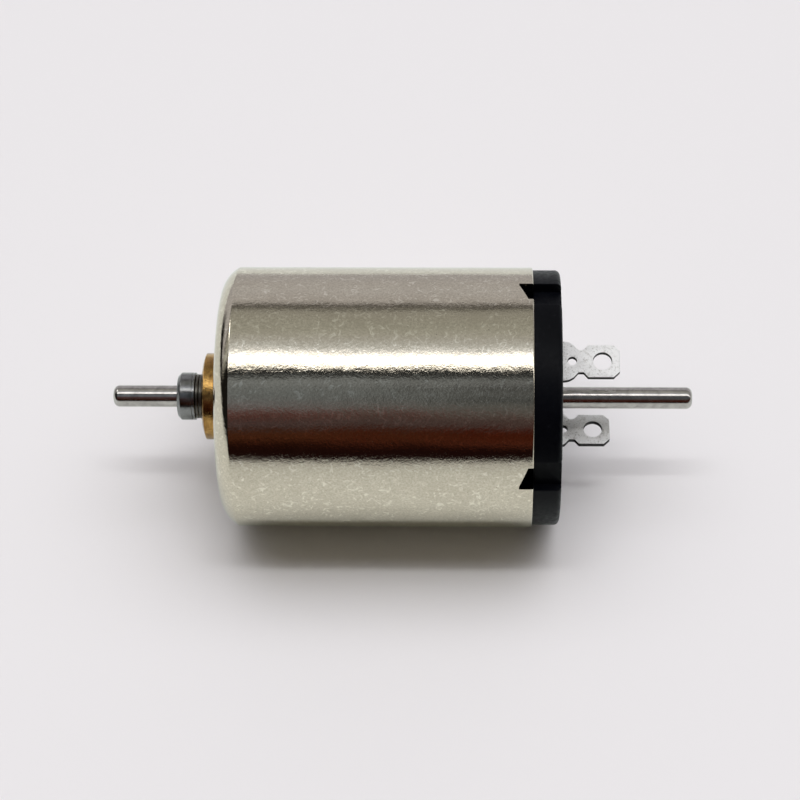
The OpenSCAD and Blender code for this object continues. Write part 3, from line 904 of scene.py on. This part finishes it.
def make_world():
    """Plain white for the camera, the banded room for reflections, and the soft room for other light."""
    world = bpy.data.worlds.new("studio")
    bpy.context.scene.world = world
    world.use_nodes = True
    world.node_tree.nodes.clear()
    n = Nodes(world.node_tree)
    direction = n.add("ShaderNodeTexCoord").outputs["Generated"]
    way = n.add("ShaderNodeSeparateXYZ")
    n.join(direction, way.inputs[0])
    along, across, up = way.outputs
    turn = n.math("ARCTAN2", n.math("MULTIPLY", across, -1), up)
    place = n.math("ADD", n.math("DIVIDE", turn, 2 * math.pi), 0.5)
    soft = background(n, ramp(n, place, SOFT), soft_gain(n, along))
    metal = background(n, metal_room(n, direction, (along, across, up), turn, place))
    rays = n.add("ShaderNodeLightPath")
    seen = n.choose(rays.outputs["Is Glossy Ray"], soft, metal)
    seen = n.choose(rays.outputs["Is Camera Ray"], seen, background(n, WHITE))
    n.join(seen, n.add("ShaderNodeOutputWorld").inputs["Surface"])


FLOOR_HALF = 1.6
FLOOR_NEAR_END = 0.155
FLOOR_FAR_END = -0.125
FLOOR_COLOUR = (0.80, 0.79, 0.792)
# The sheet as the metal sees it, a painted reflection: with less red, and painted shade that makes it half
# as bright at its near end
FLOOR_IN_METAL = (0.76, 0.805, 0.785)
NEAR_END_PAINTED_SHADE_IN_METAL = (0.38, 0.40, 0.39)
FADE_START = 0.026


def make_floor():
    """A pale sheet. In reflections it has its own painted tints, with painted shade towards its near end,
    and ends a short way from the object.
    """
    half = FLOOR_HALF / MM
    corners = [(-half, -half, 0), (half, -half, 0), (half, half, 0), (-half, half, 0)]
    floor = mesh_object("floor", corners, [(0, 1, 2, 3)])
    floor.location.z = CAD_BOX[0].z
    f = Finish("floor_paper", 0, **{"Roughness": 0.9, "Specular IOR Level": 0.0})
    f.bump(f.noise(2.0, 3), 6)
    place = f.add("ShaderNodeSeparateXYZ")
    f.join(f.add("ShaderNodeNewGeometry").outputs["Position"], place.inputs[0])
    across = place.outputs[1]
    glossy = f.add("ShaderNodeLightPath").outputs["Is Glossy Ray"]
    # Painted reflection: for reflected rays the floor gets its own tint and painted shade that grows
    # towards its near end.
    painted_reflected_floor = f.blend(f.span(across, FADE_START, FLOOR_NEAR_END), FLOOR_IN_METAL, NEAR_END_PAINTED_SHADE_IN_METAL)
    f.colour(f.blend(glossy, FLOOR_COLOUR, painted_reflected_floor))
    past_near = f.math("GREATER_THAN", across, FLOOR_NEAR_END)
    past_far = f.math("LESS_THAN", across, FLOOR_FAR_END)
    gone = f.math("MULTIPLY", f.math("MAXIMUM", past_near, past_far), glossy)
    clear = f.add("ShaderNodeBsdfTransparent").outputs[0]
    surface = f.choose(gone, f.shader.outputs[0], clear)
    f.join(surface, f.tree.nodes["Material Output"].inputs["Surface"])
    floor.data.materials.append(f.material)


STRIP_HEIGHT = 1.5
STRIP_TILT = math.radians(-5)
STRIP_LENGTH = 1.0
STRIP_WIDTH = 0.08
STRIP_RADIANCE = 14.5


def make_strip():
    """A long narrow lamp parallel to the shaft, just on the camera's side of straight up."""
    lamp = bpy.data.lights.new("strip", "AREA")
    lamp.shape = "RECTANGLE"
    lamp.size = STRIP_LENGTH
    lamp.size_y = STRIP_WIDTH
    lamp.energy = STRIP_RADIANCE * math.pi * STRIP_LENGTH * STRIP_WIDTH
    holder = link(bpy.data.objects.new("strip", lamp))
    holder.matrix_world = turn_x(STRIP_TILT) @ shift(0, 0, STRIP_HEIGHT)
    holder.visible_glossy = False


CAMERA_AT = (-23.6436, 137.0978, 171.9026)
CAMERA_RIGHT = (-0.999437, -0.023767, -0.023683)
CAMERA_UP = (0.003855, -0.782522, 0.622611)
CAMERA_BACK = (-0.03333, 0.622169, 0.782173)
CAMERA_LENS = 106.83
CAMERA_SENSOR = 36
CAMERA_SEES = (0.005, 20)


def make_camera():
    lens = bpy.data.cameras.new("camera")
    lens.sensor_width = CAMERA_SENSOR
    lens.lens = CAMERA_LENS
    lens.clip_start, lens.clip_end = CAMERA_SEES
    camera = link(bpy.data.objects.new("camera", lens))
    axes = Matrix((CAMERA_RIGHT, CAMERA_UP, CAMERA_BACK)).transposed().to_4x4()
    camera.matrix_world = Matrix.Translation(Vector(CAMERA_AT) * MM) @ axes
    bpy.context.scene.camera = camera


# ---------------------------------------------------------------- the whole scene

def main():
    finish = make_finishes()
    make_can(finish)
    make_boss(finish)
    make_collar(finish)
    make_shaft(finish)
    for node in ("thrust_washer_1", "thrust_washer_2"):
        make_washer(node, finish)
    make_cap(finish)
    for name, setting in TERMINALS.items():
        make_terminal(name, *setting, finish)
    finish_carried(finish)
    make_floor()
    make_strip()
    make_world()
    make_camera()
    bpy.context.scene.view_settings.view_transform = "Standard"


main()

bpy.context.view_layer.update()
